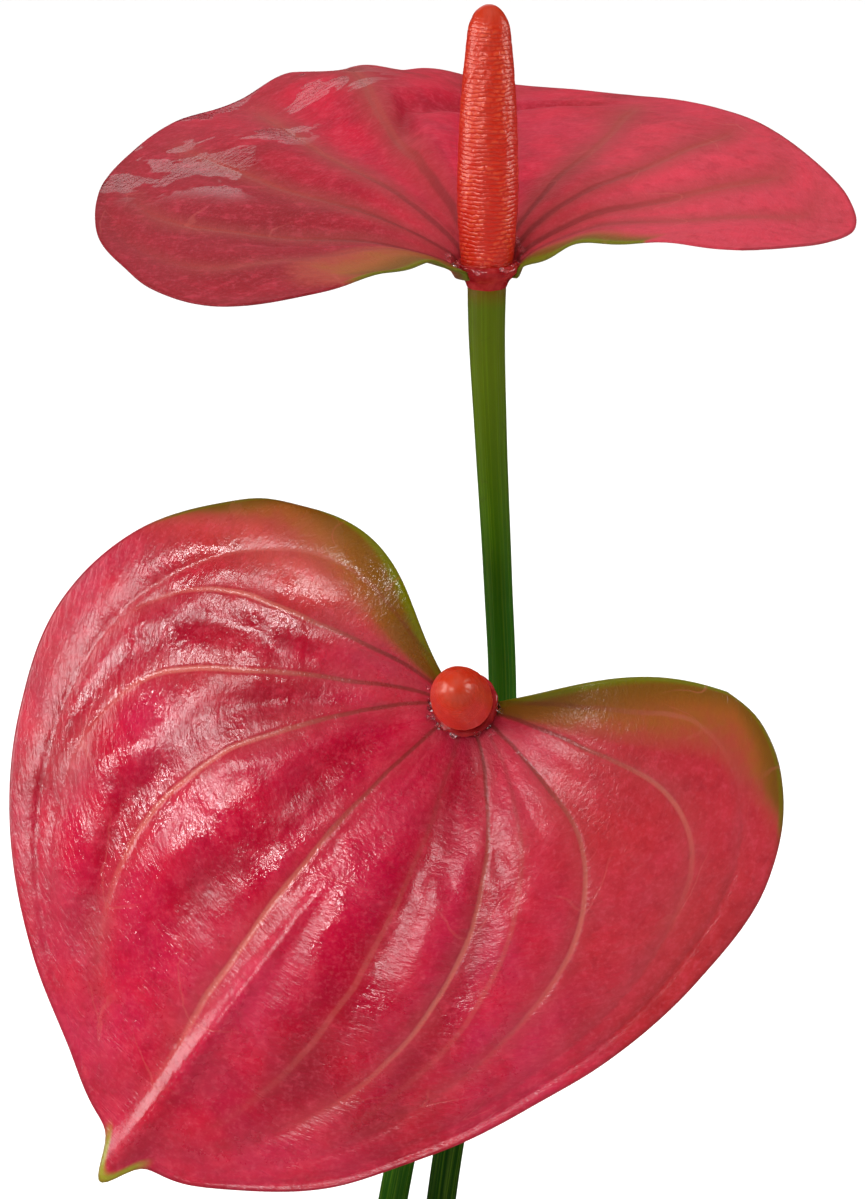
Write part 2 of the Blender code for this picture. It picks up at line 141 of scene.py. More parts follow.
# outline, rise and green are read at a heading: how far off and how high the rim is, and how wide the green.
# A vein is its heading at the seat, how much it straightens evenly and late, how late, and its strength.
# A valley is its course, as pairs of a share of the way out and a heading, its width and its depth.
LOWER_BRACT = {
    "outline": [
        (-103, 37.4), (-98, 42.4), (-92, 46.9), (-80, 56.1), (-66, 63.8), (-52, 67.6), (-38, 71.1),
        (-22, 75.3), (-12, 78.6), (-5, 82.4), (0, 84), (6, 83.3), (12, 79.7), (22, 73.9), (30, 68.3),
        (38, 63.9), (48, 59.3), (58, 56.5), (78, 52.9), (97, 51.4), (112, 48.3), (120, 45.3), (126, 41.8),
        (130, 38.2),
    ],
    "rise": [
        (-103, 3), (-85, -2), (-66, -7), (-40, -8), (-20, -9), (0, -11), (20, -8), (50, -5), (90, -4),
        (115, 0), (130, 4),
    ],
    "veins": [
        (-105, 0, 1, 6, 0.5), (-86, 0.14, 0.86, 11, 1), (-65, 0.12, 0.88, 9, 1), (-52, 0.38, 0.62, 4.5, 1),
        (-12, 1, 0, 1, 1), (26, 0.6, 0.4, 5, 0.3), (60, 0.6, 0.4, 4, 1), (80, 0.65, 0.35, 6, 0.35),
        (88, 0.15, 0.85, 4, 1), (109, 0.05, 0.95, 8.5, 1), (126, 0.02, 0.98, 14, 0.6),
    ],
    "sinus_bend": (0.12, 0.047),
    "cusp": (6, 1.7),
    "crown": 6.5,
    "roll": 0.6,
    "sag": (0, 0),
    "funnel": 1,
    "ripple": 0,
    "tip_droop": 0,
    "puff": 0.12,
    "folds": (0.4, 0.2),
    "vein_lines": (0.38, 0.006, 0.62),
    "valleys": [
        ([(0.06, 70), (0.1, 58), (0.21, 35), (0.33, 25), (0.44, 20), (0.62, 16), (0.95, 14)], 5.5, 1.5),
        ([(0.1, -42), (0.18, -33), (0.29, -25), (0.43, -19), (0.6, -17), (0.8, -16)], 4, 0.9),
        ([(0.2, -60), (0.36, -53), (0.5, -48), (0.63, -42), (0.75, -34), (0.81, -28), (0.95, -18)], 4.5, 0.7),
        ([(0.3, -78), (0.5, -74), (0.7, -66), (0.85, -52), (0.97, -34)], 4, 0.4),
        ([(0.3, 52), (0.5, 42), (0.7, 34), (0.95, 24)], 4, 0.7),
    ],
    "green": [
        (-103, 27), (-97, 21), (-91, 12), (-84, 5), (-76, 1), (-70, 0), (88, 0), (98, 1), (106, 5), (113, 13),
        (122, 22), (130, 26),
    ],
    "green_rim": True,
    "green_start": 12,
}
UPPER_BRACT = {
    "outline": [
        (-126, 39.5), (-118, 45.5), (-110, 50.8), (-100, 56.8), (-90, 59), (-75, 60.3), (-60, 64.9),
        (-45, 71.6), (-30, 77.3), (-15, 84), (-6, 89), (0, 92.5), (6, 88), (15, 83.2), (30, 75.3), (45, 69.6),
        (60, 63.3), (75, 58.9), (90, 55.2), (100, 53.6), (110, 50.5), (118, 47.8), (126, 41),
    ],
    "rise": [
        (-126, 6.9), (-118, 6.3), (-110, 5.6), (-100, 5.6), (-90, 8.0), (-75, 12.2), (-60, 14.7),
        (-45, 15.2), (-30, 14.8), (-15, 15.7), (-6, 19.6), (0, 21.3), (6, 20.2), (15, 14.4), (30, 12.8),
        (45, 9.2), (60, 7.6), (75, 5.3), (90, 4.1), (100, 3.1), (110, 2.5), (118, 3.3), (126, 4.7),
    ],
    "veins": [
        (-101, 0.02, 0.3, 14, 0.6), (-87, 0.05, 0.2, 14, 1), (-71, 0.1, 0.15, 12, 1), (-54, 0.3, 0, 1, 1),
        (-24, 0.4, 0, 1, 0.6), (14, 1, 0, 1, 1), (34, 0.55, 0, 1, 1), (55, 0.35, 0.1, 10, 1),
        (80, 0.05, 0.45, 8, 1), (103, 0.02, 0.5, 12, 0.6),
    ],
    "sinus_bend": (0.05, 0.05),
    "cusp": (4, 2.2),
    "crown": 2,
    "roll": 1.7,
    "sag": (1.6, 1.0),
    "funnel": 0.38,
    "ripple": 0.4,
    "tip_droop": 7,
    "puff": 0.07,
    "folds": (0.2, 0.04),
    "vein_lines": (0.5, 0.018, 0.5),
    "valleys": [
        ([(0.3, 8), (0.45, 3), (0.6, -8), (0.8, -26), (0.92, -38)], 3.4, 2.2),
    ],
    "green": [(-126, 5), (-116, 5), (-106, 4), (-96, 0), (-60, 0), (84, 0), (96, 14), (108, 22), (126, 24)],
    "green_rim": False,
    "green_start": 3,
}
LEAF = {
    "outline": mirrored([
        (0, 96), (3, 90), (8, 79), (16, 65), (28, 51.5), (45, 41.5), (65, 36.5), (90, 34.4), (115, 34.6),
        (135, 34), (145, 31), (152, 27),
    ]),
    "rise": mirrored([(0, -16), (20, -8), (60, 1), (110, 0), (152, -1)]),
    "veins": mirrored([
        (0, 0, 1, 1, 1), (30, 0, 1, 2.2, 1), (62, 0, 1, 3, 1), (100, 0, 1, 5, 1), (135, 0, 1, 8, 1),
    ]),
    "sinus_bend": (0.03, 0.03),
    "cusp": (0, 1),
    "crown": 4,
    "roll": 0,
    "sag": (0, 0),
    "funnel": 1.3,
    "ripple": 0.5,
    "tip_droop": 5,
    "puff": 0.11,
    "folds": (0.4, 0.2),
    "valleys": [],
    "green": mirrored([(0, 2), (152, 2)]),
    "green_rim": True,
    "green_start": 3,
}

# dull and pale are each a colour, its share and the headings between which it comes in. dull is painted shade
# over the upper bract's left half, away from the light, and a duller tint over the lower's right half; pale is
# a painted sheen over the side that catches the light. vein_shadow is a colour, its share and its reach. wet
# is
# where the film of water is: heading, width, share of the way out, depth.
UPPER_HEADING = 105 * DEGREE
FLOWERS = {
    "upper": {
        "blade": UPPER_BRACT,
        "seat": (17.95, -2.6, 374.7),
        "tip": (math.cos(UPPER_HEADING), math.sin(UPPER_HEADING), 0),
        "spike": (0, -0.03, 1),
        "foot": (4, 9),
        "girth": 1,
        "gloss": 0.25,
        "vein": (srgb(92, 24, 22), srgb(146, 58, 50)),
        "skin": (srgb(138, 16, 28), srgb(164, 24, 48), srgb(160, 18, 34)),
        "dull_tint_and_shade": (srgb(118, 10, 20), 0.75, 0, 60),
        "vein_shadow": (srgb(140, 52, 48), 0.5, 5),
        "pale": (srgb(198, 68, 82), 0.45, -80, -20),
        "vivid": 0.6,
        "fade": (0.72, 0.95),
        "wet": (30, 36, 0.82, 0.26),
        "edges": (0.5, 0.53),
        "dry": 0.6,
        "route": [
            (6.5, 8.5, 150), (11.5, 6.5, 205), (18.3, 4, 258), (21.2, 1.5, 300), (20.1, -0.3, 325),
            (18.7, -1.7, 350),
        ],
    },
    "lower": {
        "blade": LOWER_BRACT,
        "seat": (14.4, -36.2, 317.5),
        "tip": (-0.613, -0.313, -0.7255),
        "spike": (-0.045, -0.903, 0.428),
        "foot": (-7, -4),
        "girth": 0.93,
        "gloss": 0.5,
        "vein": (srgb(92, 34, 22), srgb(186, 100, 86)),
        "skin": (srgb(146, 8, 32), srgb(174, 26, 60), srgb(176, 14, 32)),
        "dull_tint_and_shade": (srgb(166, 48, 44), 0.5, 40, 80),
        "vein_shadow": (srgb(158, 54, 56), 0.36, 3.6),
        "pale": (srgb(176, 84, 66), 0.5, -94, -74),
        "vivid": 0.25,
        "fade": (0.62, 0.9),
        "wet": (-40, 100, 0.5, 0.5),
        "edges": (0.4, 0.66),
        "dry": 0.27,
        "route": [(-4.5, -3.5, 150), (2, -3.5, 205), (11.5, -7, 262), (14.6, -15.5, 295)],
    },
}

# Each leaf: its heading, the reach and height of its seat, its droop and roll in degrees, and its size
LEAVES = {
    "leaf_front_left": (-140, 60, 186, 34, 7, 1.22),
    "leaf_front_right": (-42, 56, 152, 42, -7, 1.10),
    "leaf_front": (-88, 46, 132, 34, 3, 0.80),
    "leaf_right": (-2, 66, 165, 32, 5, 1.18),
    "leaf_left": (178, 64, 152, 40, -8, 1.12),
    "leaf_rear_right": (42, 56, 130, 22, 6, 0.96),
    "leaf_rear_left": (135, 54, 124, 24, -5, 0.92),
    "leaf_rear": (92, 33, 160, 24, 0, 0.74),
}


def math_node(operation):
    """A method for Shade that adds one Math node."""

    def method(self, *others):
        return self.finish.node("Math", dict(enumerate((self, *others))), operation=operation)

    return method


class Shade:
    """A number or colour that changes over a surface. Arithmetic on a number adds its Math nodes."""

    def __init__(self, finish, socket):
        self.finish = finish
        self.socket = socket

    __add__ = __radd__ = math_node("ADD")
    __sub__ = math_node("SUBTRACT")
    __mul__ = __rmul__ = math_node("MULTIPLY")
    __truediv__ = math_node("DIVIDE")
    __pow__ = math_node("POWER")
    __abs__ = math_node("ABSOLUTE")
    lower_of = math_node("MINIMUM")
    higher_of = math_node("MAXIMUM")
    floor = math_node("FLOOR")
    sine = math_node("SINE")
    cosine = math_node("COSINE")
    zigzag = math_node("PINGPONG")

    def __rsub__(self, other):
        return self.finish.node("Math", {0: other, 1: self}, operation="SUBTRACT")

    def rising(self, low, high, start=0.0, end=1.0):
        """0 below low, 1 above high, smooth between."""
        inputs = dict(enumerate((self, low, high, start, end)))
        return self.finish.node("MapRange", inputs, interpolation_type="SMOOTHSTEP")

    def falling(self, low, high):
        """1 below low, 0 above high, smooth between."""
        return self.rising(low, high, 1.0, 0.0)


class Finish:
    """A node material in the making."""

    def __init__(self, name, **constants):
        self.material = bpy.data.materials.new(name)
        self.material.use_nodes = True
        self.tree = self.material.node_tree
        self.shader = self.tree.nodes["Principled BSDF"]
        self.where = self.node("TexCoord", {}, "Object")
        self.wear(**constants)

    def feed(self, socket, value):
        """Links a Shade to a socket, or sets the socket to a plain value."""
        if isinstance(value, Shade):
            self.tree.links.new(value.socket, socket)
        elif socket.type == "RGBA":
            socket.default_value = (*value, 1)
        else:
            socket.default_value = value

    def node(self, kind, inputs, output=0, **settings):
        """Adds one node: its settings first, then its sockets' values or links."""
        made = self.tree.nodes.new("ShaderNode" + kind)
        for name, value in settings.items():
            setattr(made, name, value)
        for key, value in inputs.items():
            self.feed(made.inputs[key], value)
        return Shade(self, made.outputs[output])

    def uv(self):
        """The two coordinates of the piece's own UV map."""
        both = self.node("UVMap", {}, uv_map="UVMap")
        return [self.node("SeparateXYZ", {0: both}, axis) for axis in (0, 1)]

    def attribute(self, name):
        return self.node("Attribute", {}, "Fac", attribute_name=name)

    def vector(self, x, y, z=0.0):
        return self.node("CombineXYZ", {0: x, 1: y, 2: z})

    def grain(self, scale, detail=2, roughness=0.5, warp=0.0, where=None):
        """A soft noise, from 0 to 1, on the object's coordinates or others."""
        place = self.where if where is None else where
        inputs = {"Vector": place, "Scale": scale, "Detail": detail, "Roughness": roughness}
        return self.node("TexNoise", {**inputs, "Distortion": warp})

    def mix(self, share, first, second):
        return self.node("Mix", {0: share, 6: first, 7: second}, 2, data_type="RGBA")

    def paint(self, body, *coats):
        """Lays colours over a body colour, one after the other, each by its share."""
        for share, colour in coats:
            body = self.mix(share, body, colour)
        return body

    def wear(self, **links):
        """Feeds the shader and hands the material over."""
        for socket, value in links.items():
            self.feed(self.shader.inputs[socket.replace("_", " ")], value)
        return self.material

    def dress(self, body, rough, height):
        """Feeds colour, roughness and the relief of a height in millimetres."""
        bump = self.node("Bump", {"Strength": 1.0, "Distance": MM, "Height": height})
        return self.wear(Base_Color=body, Roughness=rough, Normal=bump)


def smooth_through(points, at):
    """A smooth curve through (position, value) pairs, read at an array of positions."""
    xs, ys = (np.array(column, float) for column in zip(*points))
    slopes = np.gradient(ys, xs)
    at = np.clip(at, xs[0], xs[-1])
    i = np.clip(np.searchsorted(xs, at, side="right") - 1, 0, len(xs) - 2)
    span = xs[i + 1] - xs[i]
    t = (at - xs[i]) / span
    return (
        (2 * t**3 - 3 * t**2 + 1) * ys[i]
        + (t**3 - 2 * t**2 + t) * span * slopes[i]
        + (3 * t**2 - 2 * t**3) * ys[i + 1]
        + (t**3 - t**2) * span * slopes[i + 1]
    )


def pick_out(thing):
    """Selects one object alone and makes it the active one."""
    bpy.ops.object.select_all(action="DESELECT")
    thing.select_set(True)
    bpy.context.view_layer.objects.active = thing


def harden(thing, name):
    """Applies one of an object's modifiers."""
    pick_out(thing)
    bpy.ops.object.modifier_apply(modifier=name)


def place_piece(thing, name, slot, finishes, *nodes):
    """Puts a finished piece's place in its mesh, names it and ties it to the frame."""
    pick_out(thing)
    bpy.ops.object.transform_apply(location=True, rotation=True, scale=True)
    thing.name = thing.data.name = name
    thing.data.materials.clear()
    for finish in finishes:
        thing.data.materials.append(finish)
    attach(thing, "root")
    if nodes:
        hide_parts(*nodes)
    thing.select_set(False)


def vertex_places(mesh):
    """The places of a mesh's vertices, one to a row."""
    flat = np.empty(len(mesh.vertices) * 3)
    mesh.vertices.foreach_get("co", flat)
    return flat.reshape(-1, 3)


def new_sheet(columns, rows):
    """A flat grid, and each of its vertices' shares across and along it."""
    bpy.ops.mesh.primitive_grid_add(x_subdivisions=columns, y_subdivisions=rows, size=1)
    sheet = bpy.context.object
    across, along = (vertex_places(sheet.data)[:, :2] + 0.5).T
    return sheet, across, along


def close_up(sheet):
    """Welds the seam of a rolled-up sheet, closes its ends and turns its faces outwards."""
    pick_out(sheet)
    bpy.ops.object.mode_set(mode="EDIT")
    bpy.ops.mesh.select_all(action="SELECT")
    bpy.ops.mesh.remove_doubles(threshold=0.01 * MM)
    bpy.ops.mesh.fill_holes(sides=0)
    bpy.ops.mesh.normals_make_consistent(inside=False)
    bpy.ops.object.mode_set(mode="OBJECT")
    sheet.data.shade_smooth()


def join_all(things):
    """Joins objects in the first of them."""
    bpy.ops.object.select_all(action="DESELECT")
    for thing in things:
        thing.select_set(True)
    bpy.context.view_layer.objects.active = things[0]
    bpy.ops.object.join()
    return things[0]


def lay_uv(mesh, u, v):
    """Writes a UV map from one pair of coordinates for each vertex."""
    corners = np.empty(len(mesh.loops), int)
    mesh.loops.foreach_get("vertex_index", corners)
    mesh.uv_layers.active.data.foreach_set("uv", np.stack([u[corners], v[corners]], -1).ravel())


def note(mesh, name, values):
    """Keeps one number for each vertex, for a material to read."""
    mesh.attributes.new(name, "FLOAT", "POINT").data.foreach_set("value", values)


def uneven(x, y, seed):
    """A smooth random height, from about -1 to 1, at arrays of places."""
    return np.array([noise.noise(Vector((a, b, seed))) for a, b in zip(x, y)])


def blade_span(blade):
    """The headings of a blade's two edges beside its notch."""
    return blade["outline"][0][0], blade["outline"][-1][0]


def panel_shape(blade, heading, out):
    """How far a blade puffs up between its sunken main veins, as a share of the panel's width, and how far
    a point is from its nearest vein, from 0 there to 1 in the middle of its panel."""
    first, last = blade_span(blade)
    strong = [vein for vein in blade["veins"] if vein[4] >= 0.5]
    lines = [start * (1 - steady * out - turn * out**late) for start, steady, turn, late, _ in strong]
    lines.insert(0, np.full_like(heading, first - EDGE_PANEL))
    lines.append(np.full_like(heading, last + EDGE_PANEL))
    height = np.zeros_like(heading)
    middle = np.zeros_like(heading)
    for low, high in zip(lines, lines[1:]):
        width = np.maximum(high - low, 1e-6)
        across = (heading - low) / width
        inside = (across >= 0) & (across <= 1)
        bulge = np.sin(math.pi * np.clip(across, 0, 1)) ** 0.8 * np.radians(width)
        height = np.where(inside, bulge, height)
        middle = np.where(inside, 1 - np.abs(2 * across - 1), middle)
    return height, middle


def blade_points(blade, heading, outward, size, seed):
    """A blade's points in its own frame, in metres, with the facts that its finish reads."""
    cusp_length, cusp_width = blade["cusp"]
    edge = smooth_through(blade["outline"], heading) + cusp_length * np.exp(-((heading / cusp_width) ** 2))
    start = BLADE_START / MM / size
    seat = SEAT_RADIUS / MM / size
    free = np.clip((outward - SEAT_SHARE) / (1 - SEAT_SHARE), 0, 1)
    radius = start + (seat - start) * np.clip(outward / SEAT_SHARE, 0, 1) + (edge - seat) * free

    first, last = blade_span(blade)
    end = np.where(heading < 0, -first, last)
    bend = np.where(heading < 0, *blade["sinus_bend"])
    angle = heading * (1 + bend * (np.abs(heading) / end) ** 6 * np.sin(math.pi * outward))

    height = smooth_through(blade["rise"], heading) * free ** blade["funnel"]
    height += blade["crown"] * np.sin(math.pi * free**0.8)
    lobe = np.clip((np.abs(heading) / end - LOBE_START) / (1 - LOBE_START), 0, 1)
    rolled = np.sin(math.pi * lobe) * np.sin(math.pi * np.clip(free / 0.9, 0, 1) ** 0.6)
    height += blade["roll"] * rolled
    sag = np.where(heading < 0, *blade["sag"])
    height -= sag * lobe**3 * np.exp(-(((free - SAG_PLACE) / SAG_WIDTH) ** 2))
    height += blade["ripple"] * np.sin(math.pi * free) * np.sin(4 * math.pi * free - 1.2)
    out = radius / edge
    bulge, panel = panel_shape(blade, angle, out)
    height += blade["puff"] * radius * bulge * free * (PUFF_END - free)
    valley = np.zeros_like(out)
    for course, width, depth in blade["valleys"]:
        aside = (angle - smooth_through(course, out)) * DEGREE * radius
        along = np.clip((out - course[0][0]) / 0.12, 0, 1) * np.clip((course[-1][0] - out) / 0.15, 0, 1)
        dent = np.exp(-((aside / width) ** 2)) * along
        height -= depth * dent
        valley = np.maximum(valley, dent)
    height -= blade["tip_droop"] * np.exp(-((heading / DROOP_WIDTH) ** 2)) * free**7

    # folds that run outwards with the veins, and shorter ones across them
    rim = edge - radius
    notch = (end - np.abs(heading)) * DEGREE * radius
    settle = np.clip(free * 3, 0, 1) * np.clip((np.minimum(rim, notch) + 1) / FOLD_FADE, 0, 1)
    for number, (depth, (across, along)) in enumerate(zip(blade["folds"], (LONG_FOLD, CROSS_FOLD))):
        height += depth * settle * uneven(angle / across, radius / along, seed + 5 * number)

    turn = np.radians(angle)
    points = np.stack([radius * np.cos(turn), radius * np.sin(turn), height], -1) * MM * size
    band = np.maximum(smooth_through(blade["green"], heading), 0)
    margin = np.minimum(rim, notch) if blade["green_rim"] else notch + 70 * np.clip(out - 0.6, 0, 1)
    green = np.clip(1 - margin / (band + 0.01), 0, 1) * np.clip(band / blade["green_start"], 0, 1)
    facts = {
        "radius_mm": radius * size,
        "rim_mm": rim * size,
        "edge_mm": np.minimum(rim, notch) * size,
        "green": green,
        "panel": panel,
        "valley": valley,
    }
    return points, angle / 360 + 0.5, out, facts


def blade_frame(place, tip, normal):
    """The matrix that puts a blade's own frame at a place, with its tip axis and its upper face as given."""
    up = Vector(normal).normalized()
    along = Vector(tip)
    along = (along - up * along.dot(up)).normalized()
    across = up.cross(along)
    turn = Matrix((along, across, up)).transposed().to_4x4()
    return Matrix.Translation(Vector(place)) @ turn


def make_blade(name, node, slot, blade, matrix, finishes, thickness, grid, size=1.0, seed=0.0):
    """A bract or a leaf: a grid bent to the blade's shape, then given a wall that thins towards its rim."""
    columns, rows = grid
    sheet, across, along = new_sheet(columns, rows)
    row = along * rows
    outward = np.where(row < 0.5, 0, SEAT_SHARE + (1 - SEAT_SHARE) * (row - 1) / (rows - 1))
    half = 2 * across - 1
    spread = np.sign(half) * np.abs(half) ** TIP_CROWDING
    first, last = blade_span(blade)
    heading = np.where(spread > 0, spread * first, -spread * last)
    points, u, v, facts = blade_points(blade, heading, outward, size, seed)
    mesh = sheet.data
    mesh.vertices.foreach_set("co", points.ravel())
    lay_uv(mesh, u, v)
    for fact, values in facts.items():
        note(mesh, fact, values)
    thick = sheet.vertex_groups.new(name="thick")
    margin = np.minimum(facts["rim_mm"], 3 * RIM_WIDTH * (1 - np.abs(spread)))
    shares = 1 - RIM_THINNING * (1 - np.clip(margin / RIM_WIDTH, 0, 1)) ** 2
    for number, share in enumerate(shares):
        thick.add([number], share, "REPLACE")
    mesh.shade_smooth()
    sheet.matrix_world = matrix
    wall = sheet.modifiers.new("wall", "SOLIDIFY")
    wall.thickness = thickness
    wall.offset = -1
    wall.vertex_group = "thick"
    wall.material_offset = 1
    harden(sheet, "wall")
    sheet.vertex_groups.clear()
    place_piece(sheet, name, slot, finishes, node)


def spadix_radius(share):
    """The spike's radius at a share of its length, with its end rounded off."""
    over = np.clip((share - 1 + SPADIX_ROUND_END) / SPADIX_ROUND_END, 0, 1)
    return SPADIX_RADIUS * smooth_through(SPADIX_PROFILE, share) * np.sqrt(1 - over**2)


def make_spadix(name, node, matrix, finish, girth):
    """The flower spike: a sphere drawn out to its profile, faintly uneven; its finish adds the florets."""
    bpy.ops.mesh.primitive_uv_sphere_add(segments=SPADIX_SIDES, ring_count=SPADIX_RINGS, radius=1)
    spike = bpy.context.object
    mesh = spike.data
    x, y, z = vertex_places(mesh).T
    ring = np.round((math.pi - np.arccos(np.clip(z, -1, 1))) / math.pi * SPADIX_RINGS)
    share = 1 - (1 - np.clip((ring - 1) / (SPADIX_RINGS - 1), 0, 1)) ** 1.3
    turn = np.arctan2(y, x)
    fade = np.clip(share / 0.03, 0, 1) * np.clip((1 - share) / 0.03, 0, 1)
    lumps = uneven(4 * np.cos(turn) + 30 * share, 4 * np.sin(turn), 1.0)
    radius = girth * spadix_radius(share) + SPADIX_UNEVEN * lumps * fade
    radius = np.where(ring == 0, 0, radius)
    places = np.stack([radius * np.cos(turn), radius * np.sin(turn), SPADIX_LENGTH * share], -1)
    mesh.vertices.foreach_set("co", places.ravel())
    note(mesh, "share", share)
    mesh.shade_smooth()
    spike.matrix_world = matrix
    place_piece(spike, name, "spadix", [finish], node)


def smooth_path(points, count):
    """Points evenly read from a smooth curve through a route's own points."""
    route = np.array([tuple(point) for point in points], float)
    steps = np.r_[0, np.cumsum(np.linalg.norm(np.diff(route, axis=0), axis=1))]
    at = np.linspace(0, steps[-1], count)
    columns = [smooth_through(list(zip(steps, route[:, axis])), at) for axis in range(3)]
    return np.stack(columns, -1)


def make_stalk(name, node, route, radii, finish, rings, sides=28):
    """A round stalk along a route, with faint ribs; radii are (share of its length, radius) pairs."""
    sheet, across, along = new_sheet(sides, rings)
    path = smooth_path(route, rings + 1)
    ahead = np.gradient(path, axis=0)
    ahead /= np.linalg.norm(ahead, axis=1)[:, None]
    side = np.array((1.0, 0.0, 0.0))
    firsts, seconds = [], []
    for way in ahead:
        side = side - way * side.dot(way)
        side /= np.linalg.norm(side)
        firsts.append(side)
        seconds.append(np.cross(way, side))
    row = np.round(along * rings).astype(int)
    turn = across * 2 * math.pi
    ribs = 1 + 0.012 * np.sin(7 * turn + 3 * along) + 0.008 * np.sin(4 * turn - 9 * along)
    radius = smooth_through(radii, along) * ribs
    out = np.cos(turn)[:, None] * np.array(firsts)[row] + np.sin(turn)[:, None] * np.array(seconds)[row]
    sheet.data.vertices.foreach_set("co", (path[row] + radius[:, None] * out).ravel())
    lay_uv(sheet.data, across, along)
    close_up(sheet)
    place_piece(sheet, name, "stalk", [finish], node)


def stalk_start(x, y):
    """The first points of a stalk's route: upright from the foot of its hole to just above the soil."""
    low = SOIL_CROWN - STALK_DEPTH
    return [(x, y, z) for z in (low, low + 0.5 * STALK_DEPTH, SOIL_CROWN, SOIL_CROWN + 5 * MM)]


def turned(profile, sides):
    """A form turned about Z: a disc's face is extruded from ring to ring, then the whole is rounded."""
    radius, level = profile[0]
    bpy.ops.mesh.primitive_circle_add(vertices=sides, radius=radius, fill_type="NGON", location=(0, 0, level))
    form = bpy.context.object
    bpy.ops.object.transform_apply(location=True)
    bpy.ops.object.mode_set(mode="EDIT")
    bpy.ops.mesh.select_all(action="SELECT")
    for wider, higher in profile[1:]:
        bpy.ops.mesh.extrude_region_move(TRANSFORM_OT_translate={"value": (0, 0, higher - level)})
        grow = wider / radius
        bpy.ops.transform.resize(value=(grow, grow, 1), center_override=(0, 0, higher))
        radius, level = wider, higher
    bpy.ops.mesh.select_all(action="SELECT")
    bpy.ops.mesh.normals_make_consistent(inside=False)
    bpy.ops.object.mode_set(mode="OBJECT")
    form.data.shade_smooth()
    smooth = form.modifiers.new("smooth", "SUBSURF")
    smooth.levels = smooth.render_levels = 2
    harden(form, "smooth")
    return form


def pot_radius(z):
    """The pot's outer radius at a height."""
    return POT_FOOT_RADIUS + (POT_RIM_RADIUS - POT_FOOT_RADIUS) * (z / POT_HEIGHT) ** POT_FLARE


def inner_radius(z):
    """The radius of the pot's inside at a height."""
    return pot_radius(z) - POT_WALL


def make_pot(finish):
    """The pot: a tapered wall with a rounded rim, a soft foot and a solid floor."""
    levels = [POT_HEIGHT * share for share in (0.03, 0.1, 0.2, 0.35, 0.5, 0.65, 0.8, 0.92)]
    half = POT_WALL / 2
    foot = [(0.3 * POT_FOOT_RADIUS, 0)]
    for inset, level in ((2.4, 0), (0.9, 0.1), (0.1, 0.9)):
        foot.append((POT_FOOT_RADIUS - inset * MM, level * MM))
    rim = []
    for degrees in (10, 40, 70, 110, 140, 170):
        turn = degrees * DEGREE
        rim.append((POT_RIM_RADIUS - half + half * math.cos(turn), POT_HEIGHT - half + half * math.sin(turn)))
    outside = [(pot_radius(z), z) for z in levels]
    inside = [(inner_radius(z), z) for z in reversed(levels[2:])]
    floor = [
        (inner_radius(POT_FLOOR) - 0.6 * MM, POT_FLOOR + POT_INNER_ROUND),
        (inner_radius(POT_FLOOR) - POT_INNER_ROUND, POT_FLOOR),
        (0.3 * POT_FOOT_RADIUS, POT_FLOOR),
    ]
    pot = turned([*foot, *outside, *rim, *inside, *floor], 48)
    place_piece(pot, "pot_glazed", "pot", [finish], "pot")


def soil_height(x, y):
    """How high the soil's even dome and its lumps are at a place."""
    radius = inner_radius(SOIL_TOP) - SOIL_GAP
    share = min(1.0, math.hypot(x, y) / radius)
    lumps = noise.noise(Vector((x, y, 0)) * SOIL_GRAIN)
    return SOIL_TOP + SOIL_DOME * (1 - share**2) + SOIL_ROUGHNESS * lumps


def make_soil(finish):
    """The soil: a crumbly dome that fills the pot to its wall."""
    sheet, across, along = new_sheet(220, 96)
    radius = inner_radius(SOIL_TOP) - SOIL_GAP
    turn = -across * 2 * math.pi
    reach = np.minimum(along * SOIL_SPREAD, 1)
    x = radius * reach * np.cos(turn)
    y = radius * reach * np.sin(turn)
    z = np.empty_like(x)
    for number, (a, b) in enumerate(zip(x, y)):
        crumbs = noise.noise(Vector((a, b, 0.3)) * 320) + 0.6 * noise.noise(Vector((a, b, 0.1)) * 800)
        z[number] = soil_height(a, b) + SOIL_CRUMB * crumbs
    z -= np.maximum(along * SOIL_SPREAD - 1, 0) * SOIL_HEM
    sheet.data.vertices.foreach_set("co", np.stack([x, y, z], -1).ravel())
    close_up(sheet)
    place_piece(sheet, "soil_crumb", "soil", [finish], "soil")


def scatter(pattern, count, sizes, lift, feet, name, finish):
    """Strews copies of a small shape over the soil, clear of the stalks, and joins them in one piece."""
    copies = []
    while len(copies) < count:
        away = (inner_radius(SOIL_TOP) - 3 * MM) * math.sqrt(rng.random())
        turn = rng.random() * 2 * math.pi
        x, y = away * math.cos(turn), away * math.sin(turn)
        if any(math.hypot(x - a, y - b) < 5 * MM for a, b in feet):
            continue
        copy = pattern.copy()
        copy.data = pattern.data.copy()
        bpy.context.scene.collection.objects.link(copy)
        size = rng.uniform(*sizes)
        copy.scale = (size * rng.uniform(0.7, 1.3), size * rng.uniform(0.7, 1.3), size)
        copy.rotation_euler = [rng.uniform(-0.5, 0.5), rng.uniform(-0.5, 0.5), rng.uniform(0, 6.3)]
        copy.location = (x, y, soil_height(x, y) + lift * size)
        copies.append(copy)
    bpy.data.objects.remove(pattern)
    place_piece(join_all(copies), name, "soil", [finish])


def bark_chip():
    """One flake of bark, about 1 mm across before it is sized."""
    bpy.ops.mesh.primitive_cube_add(size=1)
    chip = bpy.context.object
    chip.scale = (1.0 * MM, 0.6 * MM, 0.28 * MM)
    bpy.ops.object.transform_apply(scale=True)
    bpy.ops.object.mode_set(mode="EDIT")
    bpy.ops.mesh.select_all(action="SELECT")
    bpy.ops.mesh.bevel(offset=0.08 * MM, segments=1)
    bpy.ops.object.mode_set(mode="OBJECT")
    for vertex in chip.data.vertices:
        vertex.co += 0.16 * MM * noise.noise_vector(vertex.co * 2400)
    return chip


